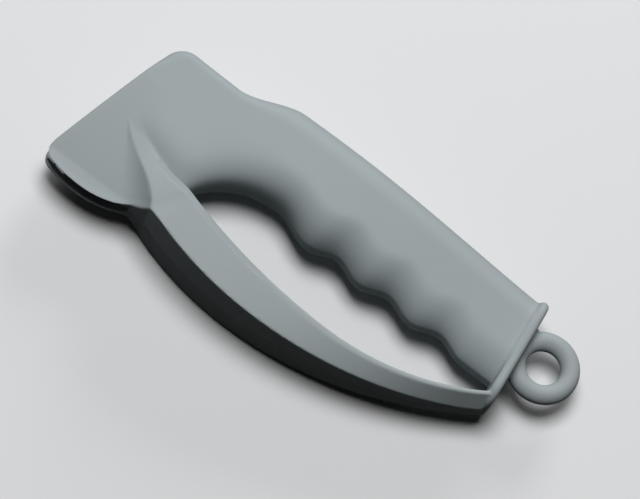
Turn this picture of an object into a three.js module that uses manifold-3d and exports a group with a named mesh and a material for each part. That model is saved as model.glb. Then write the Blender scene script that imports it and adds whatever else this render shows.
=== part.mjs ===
// A one-hand knife sharpener. Its moulded casing is two half shells joined on pegs, with a sharpening
// head, a grip with finger grooves, a full hand guard, an end flange and a hanging ring. Two hard metal
// blades cross in a slot under the head. The part lies on its side, as it rests on a table.
//
// Side frame, used before the part is laid down: +X runs from the head to the ring, +Y from the guard
// to the back of the grip, and +Z out of the near side. X is zero at the centre of the arch that ends
// the finger opening, and Y is zero halfway down the finger grooves. All lengths are in millimetres.
import * as THREE from 'three';
import { mergeVertices } from 'three/addons/utils/BufferGeometryUtils.js';
import Module from 'manifold-3d';

const wasm = await Module();
wasm.setup();

// Casing in general
const wall = 2.2;
const seamGap = 0.3;
const seatGap = 0.3;
const overrun = 1;
const embed = 0.2;
const weld = 0.0001;

// Grip
const gripLength = 66;
const gripHeight = 25.5;
const gripWidth = 20;
const gripWidest = 12;
const buttWidth = 14.6;
const backFall = 1.9;
const backRounding = 8;
const archRounding = 7;
const archFall = 9.2;
const grooveRounding = 7.5;
const crestRounding = 6.3;

// Finger grooves and the arch in front of them
const archRadius = 22;
const archTop = 2.2;
const archRun = 11.5;
const groovePitch = 15.9;
const grooveDepth = 2.3;
const grooveCount = 3;

// Shoulder between grip and head
const shoulderRun = 17;
const shoulderFront = 25.5;

// Head
const headTop = 19.8;
const headTopFall = 0.8;
const headFront = 43.6;
const headLean = THREE.MathUtils.degToRad(13.9);
const headCornerRadius = 4.3;
const headWidth = 14.4;
const headWidestY = 5.8;
const headRounding = 4;
const frontRounding = 1.2;
const frontRoundingRun = 12;
const neckRiseRun = 8;
const neckRiseFront = 43;
const neckRiseLead = 9;
const wedgeBulgeShare = 0.35;

// Lip of the slot, under the head
const lipLowX = -42;
const lipLowY = -26.4;
const lipFrontRadius = 36;
const lipRearRadius = 25;
const lipFrontX = -53.6;
const lipWaistWidth = 5.8;
const lipFlare = 0.5;
const lipFlareReach = 3.5;
const lipWedgeStart = 4;

// Hand guard: the rim faces the hand, and the base faces away from it
const rimLowX = 26.5;
const rimLowY = -19.2;
const rimFrontRadius = 155;
const rimRearRadius = 73;
const baseLowX = 7.8;
const baseLowY = -28.6;
const baseFrontRadius = 90;
const baseRearRadius = 110;
const guardFront = -24;
const guardRimFront = -19;
const rimWidthFront = 20.8;
const rimWidthButt = 14;
const baseWidthFront = 18.6;
const baseWidthButt = 5.2;
const baseCornerRun = 4.5;
const baseCornerFall = 1.1;
const rimBand = 2.3;
const rimEdge = 0.5;

// Root of the guard, a fin on each side of the head. Its lower edge is a curve with two bends.
const finTipX = -39.5;
const finRimTipWidth = 12.1;
const finEdgeTipWidth = 12.4;
const finRimSag = 0.6;
const finEdgePlaces = [[-42.4, -5.5], [-38, -12.5], [-27.5, -16.8]];
const flankReachShare = 1.9;
const flankColumns = 5;

// End flange
const flangeThickness = 2.6;
const flangeWidth = 16.4;
const flangeProud = 0.2;
const flangeLean = THREE.MathUtils.degToRad(5.5);
const flangeFootRise = 1.3;
const flangeFillet = 0.9;
const flangeCorner = 5;
const flangeRounding = 1.25;

// Hanging ring
const ringHole = 9;
const ringWire = 5;
const ringBehindFlange = 6.6;
const ringHeight = 10.7;
const webThickness = 3;
const webHeight = 15;

// Slot under the head, open at the lip and in front
const slotMouth = 5.2;
const slotRoof = 2.8;
const slotRoofFront = 19.3;
const slotRoofFall = THREE.MathUtils.degToRad(6.5);
const slotRear = 28.8;

// Blades and their holder, which lean like the front edge and cross on the mid-plane
const bladeWidth = 3;
const bladeThickness = 1.2;
const bladeBelow = 3.2;
const bladeAbove = 5;
const bladeTilt = THREE.MathUtils.degToRad(13);
const bladeInset = 1.9;
const bladeSpacing = 3.5;
const bladeCrossing = 21;
const holderInset = 1.5;
const holderLength = 9.4;
const holderAbove = 1.2;
const holderHeight = 9.4;
const holderBaseWidth = 4.2;
const holderTopWidth = 6.4;

// Pegs of the far shell, and their sockets in the near shell, in the side frame
const pegRadius = 1.5;
const pegReach = 4.5;
const bossRadius = 3;
const pegPlaces = [[-25, 8], [14, 12.5], [49, 11.5], [-6, -21.6], [24, -22.9]];
const holderPegRadius = 0.9;
const holderPegHeight = 8.6;
const holderPegPitch = 5;

// Hollow inside the casing
const headHollowEnd = THREE.MathUtils.degToRad(157);
const guardHollowEnd = 34;

// Curves of the outline, in the side frame

const archCentreY = archTop - archRadius;
const mix = THREE.MathUtils.lerp;
const half = (width) => width / 2;
const clampShare = (value) => Math.min(1, Math.max(0, value));
const ease = (value) => THREE.MathUtils.smoothstep(value, 0, 1);

// A bowl-shaped curve of two arcs that meet at its lowest point.
function arcRise(x, lowX, frontRadius, rearRadius) {
  const radius = x < lowX ? frontRadius : rearRadius;
  const run = Math.min(Math.abs(x - lowX), radius);
  return radius - Math.sqrt(radius * radius - run * run);
}

const rimLine = (x) => rimLowY + arcRise(x, rimLowX, rimFrontRadius, rimRearRadius);
const baseLine = (x) => baseLowY + arcRise(x, baseLowX, baseFrontRadius, baseRearRadius);
const lipLine = (x) => lipLowY + arcRise(x, lipLowX, lipFrontRadius, lipRearRadius);

// The underside of the grip: half a wave down from the arch, then whole waves for the fingers.
function underside(x) {
  const crest = -half(grooveDepth);
  if (x < archRun) {
    return mix(archTop, crest, (1 - Math.cos(Math.PI * x / archRun)) / 2);
  }
  const waves = Math.min((x - archRun) / groovePitch, grooveCount);
  return crest * Math.cos(2 * Math.PI * waves);
}

// The back of the grip and the top of the head, with the shoulder between them.
function backLine(x) {
  const fallShare = clampShare((x + archRun) / (gripLength + archRun));
  const grip = gripHeight - backFall * fallShare * fallShare;
  const head = headTop - headTopFall * clampShare((x + headFront) / (headFront - shoulderFront));
  return mix(head, grip, ease((x + shoulderFront) / shoulderRun));
}

// The front edge leans forward on its way down from the top of the head.
const frontEdge = (y) => -headFront - (headTop - y) * Math.tan(headLean);

// How far a point lies inside the back, top and front of the casing. It is negative outside.
function depthFromBack(x, y) {
  const below = backLine(x) - y;
  const behind = (x - frontEdge(y)) * Math.cos(headLean);
  if (below > headCornerRadius || behind > headCornerRadius) {
    return Math.min(below, behind);
  }
  return headCornerRadius - Math.hypot(headCornerRadius - below, headCornerRadius - behind);
}

// Where a ray from the centre of the arch leaves the casing.
function outlinePoint(angle, inset) {
  let near = archRadius;
  let far = 4 * archRadius;
  for (let step = 0; step < 40; step += 1) {
    const middle = (near + far) / 2;
    const inside = depthFromBack(middle * Math.cos(angle), archCentreY + middle * Math.sin(angle)) > inset;
    near = inside ? middle : near;
    far = inside ? far : middle;
  }
  return new THREE.Vector2(near * Math.cos(angle), archCentreY + near * Math.sin(angle));
}

// Thickness of the casing's body, as half widths above the mid-plane

// How much lower an edge rounded with this radius is, at a depth in from the edge.
const roundedAway = (depth, radius) => radius * (1 - Math.sqrt(1 - (1 - clampShare(depth / radius)) ** 2));

function sideWidth(x) {
  const headToGrip = ease((x + headFront + headCornerRadius) / (headFront + headCornerRadius + gripWidest));
  const gripToButt = ease((x - gripWidest) / (gripLength - gripWidest));
  return mix(mix(headWidth, gripWidth, headToGrip), buttWidth, gripToButt);
}

// The head narrows like a wedge down to the lip, which turns out again along its edge. Above the line
// of the guard's rim, the neck rises from the wedge to its full width.
function sideHeight(x, y) {
  const full = half(sideWidth(x));
  const wedgeBottom = lipLowY + lipWedgeStart;
  const rise = clampShare((y - wedgeBottom) / (headWidestY - wedgeBottom));
  const wedge = mix(half(lipWaistWidth), full, rise + wedgeBulgeShare * rise * (1 - rise));
  const aboveRim = 1 - (1 - clampShare((y - rimLine(x)) / neckRiseRun)) ** 2;
  const fade = aboveRim * ease((x + neckRiseFront) / neckRiseLead);
  const flareShare = clampShare(1 - (y - lipLine(x)) / lipFlareReach);
  return mix(wedge + lipFlare * flareShare * flareShare, full, fade);
}

function openingDepth(x, y) {
  return x < 0 ? Math.hypot(x, y - archCentreY) - archRadius : y - underside(x);
}

// The edge round the opening is fuller at the crests between the fingers than in the grooves.
function openingRounding(x) {
  const crest = clampShare(0.5 - underside(x) / grooveDepth);
  return mix(archRounding, mix(grooveRounding, crestRounding, crest), ease(x / archRun));
}

// The back and the top of the head are rounded more than the front edge below them.
function outerRounding(x, y) {
  const below = backLine(x) - y;
  const behind = (x - frontEdge(y)) * Math.cos(headLean);
  const top = mix(headRounding, backRounding, ease((x + shoulderFront) / shoulderRun));
  return mix(frontRounding, top, ease(1 - (below - behind) / frontRoundingRun));
}

// How much lower the edge round the opening is. It falls further round the arch than along the grip.
function openingAway(x, y, inset) {
  const rounding = openingRounding(x);
  const fall = mix(archFall, rounding, ease(x / archRun));
  return roundedAway(openingDepth(x, y) - inset, rounding) * fall / rounding;
}

// Height of the body's side over a point. An inset gives the same side, one wall further in.
function bodyHeight(x, y, inset) {
  const outer = roundedAway(depthFromBack(x, y) - inset, outerRounding(x, y));
  const inner = openingAway(x, y, inset);
  const fillet = inset > 0 ? 0 : roundedAway(flangeX(y) - x, flangeFillet);
  return Math.max(0, sideHeight(x, y) - inset - outer - inner + fillet);
}

// Shares along a section, closer together towards both ends, where it is rounded.
function sectionShares(count) {
  return Array.from({ length: count + 1 }, (_, i) => (1 - Math.cos(Math.PI * i / count)) / 2);
}

function bodyRow(inner, outer, inset, shares) {
  return shares.map((share) => {
    const x = mix(inner.x, outer.x, share);
    const y = mix(inner.y, outer.y, share);
    return new THREE.Vector3(x, y, bodyHeight(x, y, inset));
  });
}

// Sections of the grip stand upright and turn with the arch, until they lie level across the head.
function gripAndNeckRows(inset, gripStations, archStations, lastAngle, columns) {
  const shares = sectionShares(columns);
  const rows = [];
  const rear = gripLength + (inset > 0 ? -inset : half(flangeThickness));
  const leanRun = (backLine(rear) - underside(rear)) * Math.tan(flangeLean);
  for (let i = 0; i < gripStations; i += 1) {
    const share = 1 - (i / gripStations) ** 1.15;
    const x = mix(0, rear, share);
    const innerX = x + leanRun * share;
    const inner = new THREE.Vector2(innerX, underside(innerX) + inset);
    rows.push(bodyRow(inner, new THREE.Vector2(x, backLine(x) - inset), inset, shares));
  }
  for (let i = 0; i <= archStations; i += 1) {
    const angle = mix(Math.PI / 2, lastAngle, i / archStations);
    const radius = archRadius + inset;
    const inner = new THREE.Vector2(radius * Math.cos(angle), archCentreY + radius * Math.sin(angle));
    rows.push(bodyRow(inner, outlinePoint(angle, inset), inset, shares));
  }
  return rows;
}

// Sections below the arch's centre follow the lip more and more, and the last one is its edge.
function lipRows(levelRow, stations) {
  const innerX = (guardFront + guardRimFront) / 2;
  const shares = sectionShares(levelRow.length - 1);
  const rows = [];
  for (let i = 1; i <= stations; i += 1) {
    const down = Math.sin(i / stations * Math.PI / 2);
    rows.push(shares.map((share, j) => {
      const lipX = mix(innerX, lipFrontX, share);
      const x = mix(levelRow[j].x, lipX, down);
      const y = mix(levelRow[j].y, lipLine(lipX), down);
      return new THREE.Vector3(x, y, bodyHeight(x, y, 0));
    }));
  }
  return rows;
}

// Solids from sections

// Drops triangles that merging has closed up, and turns all faces outwards.
function closedGeometry(positions, triangles) {
  const loose = new THREE.BufferGeometry();
  loose.setAttribute('position', new THREE.Float32BufferAttribute(positions, 3));
  loose.setIndex(triangles);
  const merged = mergeVertices(loose, weld);
  const index = merged.index.array;
  const kept = [];
  for (let i = 0; i < index.length; i += 3) {
    const [a, b, c] = [index[i], index[i + 1], index[i + 2]];
    if (a !== b && b !== c && c !== a) {
      kept.push(a, b, c);
    }
  }
  merged.setIndex(signedVolume(merged.attributes.position, kept) < 0 ? kept.reverse() : kept);
  return merged;
}

function signedVolume(position, triangles) {
  const [a, b, c] = [new THREE.Vector3(), new THREE.Vector3(), new THREE.Vector3()];
  let volume = 0;
  for (let i = 0; i < triangles.length; i += 3) {
    a.fromBufferAttribute(position, triangles[i]);
    b.fromBufferAttribute(position, triangles[i + 1]);
    c.fromBufferAttribute(position, triangles[i + 2]);
    volume += a.dot(b.cross(c)) / 6;
  }
  return volume;
}

// A closed solid under a net of rows of points, down to a floor below the mid-plane.
function netSolid(rows) {
  const columns = rows[0].length;
  const positions = [];
  for (const floor of [false, true]) {
    rows.forEach((row) => row.forEach((p) => positions.push(p.x, p.y, floor ? -overrun : p.z)));
  }
  const triangles = [];
  const lower = rows.length * columns;
  const quad = (a, b, c, d) => triangles.push(a, b, c, a, c, d);
  for (let i = 0; i + 1 < rows.length; i += 1) {
    for (let j = 0; j + 1 < columns; j += 1) {
      const a = i * columns + j;
      quad(a, a + 1, a + columns + 1, a + columns);
      quad(lower + a, lower + a + columns, lower + a + columns + 1, lower + a + 1);
    }
    const end = i * columns + columns - 1;
    quad(i * columns, (i + 1) * columns, lower + (i + 1) * columns, lower + i * columns);
    quad(end, lower + end, lower + end + columns, end + columns);
  }
  const last = (rows.length - 1) * columns;
  for (let j = 0; j + 1 < columns; j += 1) {
    quad(j, lower + j, lower + j + 1, j + 1);
    quad(last + j, last + j + 1, lower + last + j + 1, lower + last + j);
  }
  return solidOf(closedGeometry(positions, triangles));
}

function solidOf(geometry) {
  const bare = geometry.clone();
  bare.deleteAttribute('normal');
  bare.deleteAttribute('uv');
  const merged = mergeVertices(bare, weld);
  return new wasm.Manifold(new wasm.Mesh({
    numProp: 3,
    vertProperties: new Float32Array(merged.attributes.position.array),
    triVerts: new Uint32Array(merged.index.array),
  }));
}

function geometryOf(solid) {
  const mesh = solid.getMesh();
  const geometry = new THREE.BufferGeometry();
  geometry.setAttribute('position', new THREE.Float32BufferAttribute(mesh.vertProperties, 3));
  geometry.setIndex(Array.from(mesh.triVerts));
  return geometry;
}

const joined = (solids) => solids.reduce((sum, next) => sum.add(next));
const cut = (solid, tools) => tools.reduce((rest, tool) => rest.subtract(tool), solid);

function boxSolid(low, high) {
  const size = new THREE.Vector3().subVectors(high, low);
  const middle = new THREE.Vector3().addVectors(low, high).multiplyScalar(0.5);
  return solidOf(new THREE.BoxGeometry(size.x, size.y, size.z).translate(middle.x, middle.y, middle.z));
}

function pinSolid(radius, place, from, to) {
  const geometry = new THREE.CylinderGeometry(radius, radius, to - from, 16);
  geometry.rotateX(Math.PI / 2);
  return solidOf(geometry.translate(place.x, place.y, (from + to) / 2));
}

// Hand guard

const guardShare = (x) => clampShare((x - guardFront) / (gripLength - guardFront));
const rimHalf = (x) => mix(half(rimWidthFront), half(rimWidthButt), guardShare(x) ** 1.6);

// The base is a little narrower at its front corner.
function baseHalf(x) {
  const cornerShare = 1 - clampShare((x - guardFront) / baseCornerRun);
  const straight = mix(half(baseWidthFront), half(baseWidthButt), guardShare(x) ** 1.5);
  return straight - baseCornerFall * cornerShare * cornerShare;
}

// One section of the guard: a flat band under the rim, then a face that leans in to the base.
function guardRow(rim, base, rimZ, baseZ) {
  const down = new THREE.Vector2().subVectors(base, rim);
  const depth = down.length();
  const at = (run, z) => new THREE.Vector3(rim.x + down.x * run / depth, rim.y + down.y * run / depth, z);
  const slope = (run) => mix(rimZ, baseZ, (run - rimBand) / (depth - rimBand));
  const middle = (rimBand + depth) / 2;
  return [
    at(0, rimZ - rimEdge),
    at(rimEdge, rimZ),
    at(rimBand, rimZ),
    at(middle, slope(middle)),
    at(depth, baseZ),
  ];
}

// Sections of the guard. Their last points run straight down from the base's edge.
function guardRows(inset, stations, rear, wallColumns) {
  const rows = [];
  for (let i = 0; i <= stations; i += 1) {
    const rimX = mix(guardRimFront + inset, rear, i / stations);
    const baseX = mix(guardFront + inset, rear, i / stations);
    const rim = new THREE.Vector2(rimX, rimLine(rimX) - inset);
    const base = new THREE.Vector2(baseX, baseLine(baseX) + inset);
    const row = guardRow(rim, base, rimHalf(rimX) - inset, baseHalf(baseX) - inset);
    for (let j = 1; j <= wallColumns; j += 1) {
      row.push(new THREE.Vector3(base.x, base.y, baseHalf(baseX) * (1 - j / wallColumns)));
    }
    rows.push(row);
  }
  return rows;
}

// Sections of the fin, from its tip on the head's side to the guard. A hollow flank runs out from its
// edge, and ends level with the head's side.
function finRows(stations) {
  const places = [...finEdgePlaces, [guardFront, baseLine(guardFront)]];
  const edge = new THREE.CubicBezierCurve(...places.map(([x, y]) => new THREE.Vector2(x, y)));
  const rows = [];
  for (let i = 0; i < stations; i += 1) {
    const share = i / stations;
    const rimX = mix(finTipX, guardRimFront, share);
    const rimZ = mix(half(finRimTipWidth), half(rimWidthFront), ease(share));
    const foot = edge.getPoint(share);
    const footZ = mix(half(finEdgeTipWidth), baseHalf(guardFront), Math.sin(share * Math.PI / 2));
    const rim = new THREE.Vector2(rimX, rimLine(rimX) - finRimSag * Math.sin(share * Math.PI));
    rows.push(finRow(rim, foot, rimZ, footZ, edge.getTangent(share), share));
  }
  const rim = new THREE.Vector2(guardRimFront, rimLine(guardRimFront));
  const foot = new THREE.Vector2(guardFront, baseLine(guardFront));
  rows.push(finRow(rim, foot, rimHalf(rim.x), baseHalf(foot.x), new THREE.Vector2(0, -1), 1));
  return rows;
}

function finRow(rim, foot, rimZ, footZ, tangent, share) {
  const row = guardRow(rim, foot, rimZ, footZ);
  const proud = Math.max(embed, footZ - bodyHeight(foot.x, foot.y, 0));
  const along = new THREE.Vector2(tangent.y, -tangent.x).lerp(new THREE.Vector2(-1, 0), share).normalize();
  for (let j = 1; j <= flankColumns; j += 1) {
    const out = (j / flankColumns) ** 1.4;
    const x = foot.x + along.x * out * proud * flankReachShare;
    const y = foot.y + along.y * out * proud * flankReachShare;
    const rise = proud * (1 - out) ** 2 - embed * out;
    row.push(new THREE.Vector3(x, y, mix(footZ - proud, bodyHeight(x, y, 0), out) + rise));
  }
  return row;
}

// Flange and ring

const flangeX = (y) => gripLength + (backLine(gripLength) - y) * Math.tan(flangeLean);

// Where the flange ends, a little above the base of the guard. Each step comes closer to that place.
function flangeFoot() {
  let foot = baseLine(gripLength);
  for (let step = 0; step < 20; step += 1) {
    foot = baseLine(flangeX(foot)) + flangeFootRise;
  }
  return foot;
}

function flangeSolid() {
  const top = backLine(gripLength) + flangeProud;
  const bottom = flangeFoot();
  const halfWide = half(flangeWidth);
  const corner = flangeCorner;
  const outline = new THREE.Shape();
  outline.moveTo(bottom, -halfWide + corner);
  outline.quadraticCurveTo(bottom, -halfWide, bottom + corner, -halfWide);
  outline.lineTo(top - corner, -halfWide);
  outline.quadraticCurveTo(top, -halfWide, top, -halfWide + corner);
  outline.lineTo(top, halfWide - corner);
  outline.quadraticCurveTo(top, halfWide, top - corner, halfWide);
  outline.lineTo(bottom + corner, halfWide);
  outline.quadraticCurveTo(bottom, halfWide, bottom, halfWide - corner);
  const geometry = new THREE.ExtrudeGeometry(outline, {
    depth: flangeThickness - 2 * flangeRounding,
    bevelSize: flangeRounding,
    bevelThickness: flangeRounding,
    bevelOffset: -flangeRounding,
    bevelSegments: 3,
    curveSegments: 5,
  });
  const basis = new THREE.Matrix4().makeBasis(
    new THREE.Vector3(0, 1, 0),
    new THREE.Vector3(0, 0, 1),
    new THREE.Vector3(1, 0, 0),
  );
  geometry.translate(-top, 0, flangeRounding).applyMatrix4(basis);
  geometry.rotateZ(flangeLean).translate(gripLength, top, 0);
  return solidOf(geometry);
}

const flangeRear = (y) => flangeX(y) + flangeThickness;
const ringPlace = new THREE.Vector2(flangeRear(ringHeight) + ringBehindFlange, ringHeight);

function ringSolid() {
  const centreline = half(ringHole) + half(ringWire);
  const ring = new THREE.TorusGeometry(centreline, half(ringWire), 12, 36);
  const webRun = ringBehindFlange + half(flangeThickness);
  const web = new THREE.Shape();
  web.moveTo(-webRun, -half(webHeight));
  web.lineTo(-half(centreline), -half(webHeight));
  web.lineTo(0, 0);
  web.lineTo(-half(centreline), half(webHeight));
  web.lineTo(-webRun, half(webHeight));
  web.closePath();
  const plate = new THREE.ExtrudeGeometry(web, { depth: webThickness, bevelEnabled: false });
  plate.translate(0, 0, -half(webThickness));
  const bore = new THREE.CylinderGeometry(half(ringHole), half(ringHole), ringWire + 2 * overrun, 36);
  bore.rotateX(Math.PI / 2);
  const solids = [plate, ring, bore].map((g) => solidOf(g.translate(ringPlace.x, ringPlace.y, 0)));
  return cut(solids[0].add(solids[1]), [solids[2]]);
}

// Slot, blades and holder

const roofLine = (x) => -slotRoofFront - (x - lipFrontX) * Math.tan(slotRoofFall);

// The slot is a channel along the lip. It is wide at the mouth and narrow at the roof.
function slotSolid(stations) {
  const rows = [];
  for (let i = 0; i <= stations; i += 1) {
    const x = mix(lipFrontX - slotMouth, -slotRear, i / stations);
    const mouth = lipLine(x) - overrun;
    const roof = Math.max(roofLine(x), mouth + overrun);
    rows.push([
      new THREE.Vector3(x, mouth, half(slotMouth)),
      new THREE.Vector3(x, lipLine(x), half(slotMouth)),
      new THREE.Vector3(x, roof, half(slotRoof)),
    ]);
  }
  return netSolid(rows);
}

// Sets a shape down in front of the head. Its own X runs back from the front edge, its Y runs up
// along it, and its origin is where the blades cross.
function placedInHead(geometry) {
  geometry.rotateZ(-headLean);
  return geometry.translate(frontEdge(-bladeCrossing), -bladeCrossing, 0);
}

function holderBlock(clearance) {
  const bottom = holderAbove - clearance;
  const top = holderAbove + holderHeight + clearance;
  const profile = new THREE.Shape();
  profile.moveTo(bottom, -half(holderBaseWidth) - clearance);
  profile.lineTo(top, -half(holderTopWidth) - clearance);
  profile.lineTo(top, half(holderTopWidth) + clearance);
  profile.lineTo(bottom, half(holderBaseWidth) + clearance);
  profile.closePath();
  const depth = holderLength + 2 * clearance;
  const block = new THREE.ExtrudeGeometry(profile, { depth, bevelEnabled: false });
  const basis = new THREE.Matrix4().makeBasis(
    new THREE.Vector3(0, 1, 0),
    new THREE.Vector3(0, 0, 1),
    new THREE.Vector3(1, 0, 0),
  );
  block.applyMatrix4(basis).translate(holderInset - clearance, 0, 0);
  return solidOf(placedInHead(block));
}

// The two blades lean to opposite sides, so that they make a V below the roof of the slot.
function bladeBlock(order, clearance) {
  const length = bladeBelow + bladeAbove + clearance;
  const blade = new THREE.BoxGeometry(bladeWidth + 2 * clearance, length, bladeThickness + 2 * clearance);
  blade.translate(0, half(length) - bladeBelow, 0);
  blade.rotateX(order === 0 ? bladeTilt : -bladeTilt);
  blade.translate(bladeInset + half(bladeWidth) + order * bladeSpacing, 0, 0);
  return placedInHead(blade);
}

function holderPegs(radius, from, to) {
  const middle = holderInset + half(holderLength);
  return [-half(holderPegPitch), half(holderPegPitch)].map((offset) => {
    const peg = new THREE.CylinderGeometry(radius, radius, to - from, 16).rotateX(Math.PI / 2);
    return solidOf(placedInHead(peg.translate(middle + offset, holderPegHeight, half(from + to))));
  });
}

function holderSolid() {
  const bladeSlots = [0, 1].map((order) => solidOf(bladeBlock(order, seatGap)));
  const pegHoles = holderPegs(holderPegRadius + seatGap, -holderTopWidth, holderTopWidth);
  const slot = slotSolid(12);
  return cut(holderBlock(0), [slot, slot.mirror([0, 0, 1]), ...bladeSlots, ...pegHoles]);
}

// Casing halves

function hollow() {
  const bosses = pegPlaces.map(([x, y]) => pinSolid(bossRadius, { x, y }, -2 * overrun, gripWidth));
  const grip = netSolid(gripAndNeckRows(wall, 24, 8, headHollowEnd, 8));
  const guard = netSolid(guardRows(wall, 10, guardHollowEnd, 0));
  return cut(joined([grip, guard]), bosses);
}

// The half above the mid-plane. Both shells start from it, and the far one is its mirror image.
function casingHalf() {
  const rows = gripAndNeckRows(0, 44, 30, Math.PI, 14);
  const body = netSolid(rows.concat(lipRows(rows[rows.length - 1], 8)));
  const rear = flangeX(flangeFoot()) + half(flangeThickness);
  const guard = netSolid([...finRows(14), ...guardRows(0, 30, rear, flankColumns)]);
  const outside = joined([body, guard, flangeSolid(), ringSolid()]);
  const reach = 2 * (gripLength + headFront);
  const low = new THREE.Vector3(-reach, -reach, half(seamGap));
  const aboveSeam = boxSolid(low, new THREE.Vector3(reach, reach, reach));
  return cut(outside.intersect(aboveSeam), [hollow(), slotSolid(12), holderBlock(seatGap)]);
}

function nearShell(shell) {
  const radius = pegRadius + seatGap;
  return cut(shell, pegPlaces.map(([x, y]) => pinSolid(radius, { x, y }, -overrun, pegReach + seatGap)));
}

function farShell(shell) {
  const pegs = pegPlaces.map(([x, y]) => pinSolid(pegRadius, { x, y }, -2 * overrun, pegReach));
  const pocketDepth = half(holderTopWidth) + seatGap;
  const insertPegs = holderPegs(holderPegRadius, -pocketDepth, half(holderBaseWidth));
  return joined([shell.mirror([0, 0, 1]), ...pegs, ...insertPegs]);
}

// Laying the part down on its side

function massCentre(geometries) {
  const centre = new THREE.Vector3();
  let total = 0;
  for (const geometry of geometries) {
    const corners = geometry.toNonIndexed().attributes.position;
    for (let i = 0; i < corners.count; i += 3) {
      const [a, b, c] = [0, 1, 2].map((k) => new THREE.Vector3().fromBufferAttribute(corners, i + k));
      const volume = a.dot(new THREE.Vector3().crossVectors(b, c)) / 6;
      centre.addScaledVector(a.add(b).add(c), volume / 4);
      total += volume;
    }
  }
  return centre.divideScalar(total);
}

// Whether a point lies within three corners, seen from above.
function surrounds(corners, point) {
  return corners.every((a, i) => {
    const b = corners[(i + 1) % 3];
    return (b.x - a.x) * (point.y - a.y) - (b.y - a.y) * (point.x - a.x) >= 0;
  });
}

// Finds the plane under the three points that the part rests on. It starts from three corners far
// above the part, and swaps in the point furthest below the plane until none is left.
function restingPlane(points, centre) {
  const reach = 10 * gripLength;
  let corners = [0, 1, 2].map((k) => {
    const angle = 2 * Math.PI * k / 3;
    return new THREE.Vector3(centre.x + reach * Math.cos(angle), centre.y + reach * Math.sin(angle), reach);
  });
  const plane = new THREE.Plane();
  for (let round = 0; round < 200; round += 1) {
    plane.setFromCoplanarPoints(...corners);
    const heights = points.map((p) => plane.distanceToPoint(p));
    const lowest = heights.reduce((best, height, i) => (height < heights[best] ? i : best), 0);
    if (heights[lowest] > -gripLength * 1e-7) {
      break;
    }
    const trials = [0, 1, 2].map((k) => corners.map((corner, i) => (i === k ? points[lowest] : corner)));
    corners = trials.find((trial) => surrounds(trial, centre));
  }
  return plane;
}

// Turns the pieces to rest on their lowest points, and puts the origin below their middle.
function layDown(geometries) {
  const points = geometries.flatMap(({ attributes: { position } }) => {
    const order = Array.from({ length: position.count }, (_, i) => i);
    return order.map((i) => new THREE.Vector3().fromBufferAttribute(position, i));
  });
  const plane = restingPlane(points, massCentre(geometries));
  const turn = new THREE.Quaternion().setFromUnitVectors(plane.normal, new THREE.Vector3(0, 0, 1));
  const box = new THREE.Box3().setFromPoints(points.map((p) => p.applyQuaternion(turn)));
  const middle = box.getCenter(new THREE.Vector3());
  geometries.forEach((g) => g.applyQuaternion(turn).translate(-middle.x, -middle.y, -box.min.z));
}

const mouldedGrey = { color: 0x9ea8aa, roughness: 0.5, metalness: 0 };
const insertGrey = { color: 0x4b5052, roughness: 0.6, metalness: 0 };
const hardMetal = { color: 0xb4b6b8, roughness: 0.3, metalness: 1 };

const shell = casingHalf();
const pieces = [
  ['near_shell', geometryOf(nearShell(shell)), mouldedGrey],
  ['far_shell', geometryOf(farShell(shell)), mouldedGrey],
  ['blade_holder', geometryOf(holderSolid()), insertGrey],
  ['front_blade', bladeBlock(0, 0), hardMetal],
  ['rear_blade', bladeBlock(1, 0), hardMetal],
];
layDown(pieces.map(([, geometry]) => geometry));

const part = new THREE.Group();
for (const [name, geometry, finish] of pieces) {
  const mesh = new THREE.Mesh(geometry, new THREE.MeshStandardMaterial(finish));
  mesh.name = name;
  part.add(mesh);
}

export default part;
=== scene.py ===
"""Knife sharpener with a full hand guard: its looks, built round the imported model.

Shapes are made in millimetres in the sharpener's side frame: +X runs from the head to the ring, +Y from
the guard to the back of the grip, +Z out of the near side, and Z is zero at the joint of the two halves.
settle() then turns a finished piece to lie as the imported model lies, in metres.
"""
import math

import bmesh
import bpy
import numpy as np
from bpy.props import FloatProperty, FloatVectorProperty, IntProperty, PointerProperty
from mathutils import Matrix, Quaternion, Vector


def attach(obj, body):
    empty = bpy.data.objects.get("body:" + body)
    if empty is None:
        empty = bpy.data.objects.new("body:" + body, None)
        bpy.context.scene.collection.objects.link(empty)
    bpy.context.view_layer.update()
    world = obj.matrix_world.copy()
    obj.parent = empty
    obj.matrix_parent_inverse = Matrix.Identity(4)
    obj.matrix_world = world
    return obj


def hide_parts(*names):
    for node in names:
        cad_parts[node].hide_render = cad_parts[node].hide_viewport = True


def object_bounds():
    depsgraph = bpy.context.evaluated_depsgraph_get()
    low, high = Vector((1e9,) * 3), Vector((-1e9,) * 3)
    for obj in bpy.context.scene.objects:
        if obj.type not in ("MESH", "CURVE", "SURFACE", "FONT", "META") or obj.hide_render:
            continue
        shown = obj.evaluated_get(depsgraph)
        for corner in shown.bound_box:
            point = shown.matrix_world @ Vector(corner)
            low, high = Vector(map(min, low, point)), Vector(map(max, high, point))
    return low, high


bl_info = {
    "name": "Knife sharpener with a hand guard",
    "version": (1, 0, 0),
    "blender": (4, 5, 0),
    "location": "View3D > Sidebar > Sharpener",
    "description": "Models a one-hand knife sharpener over its packed model, with its stage",
    "category": "Add Mesh",
}

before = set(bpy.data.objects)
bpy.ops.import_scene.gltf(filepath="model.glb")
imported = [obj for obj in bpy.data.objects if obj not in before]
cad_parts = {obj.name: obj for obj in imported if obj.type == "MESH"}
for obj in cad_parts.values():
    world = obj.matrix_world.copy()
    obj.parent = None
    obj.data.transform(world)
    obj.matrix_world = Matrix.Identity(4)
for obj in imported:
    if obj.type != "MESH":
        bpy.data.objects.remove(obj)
CAD_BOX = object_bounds()

MM = 0.001

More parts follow.
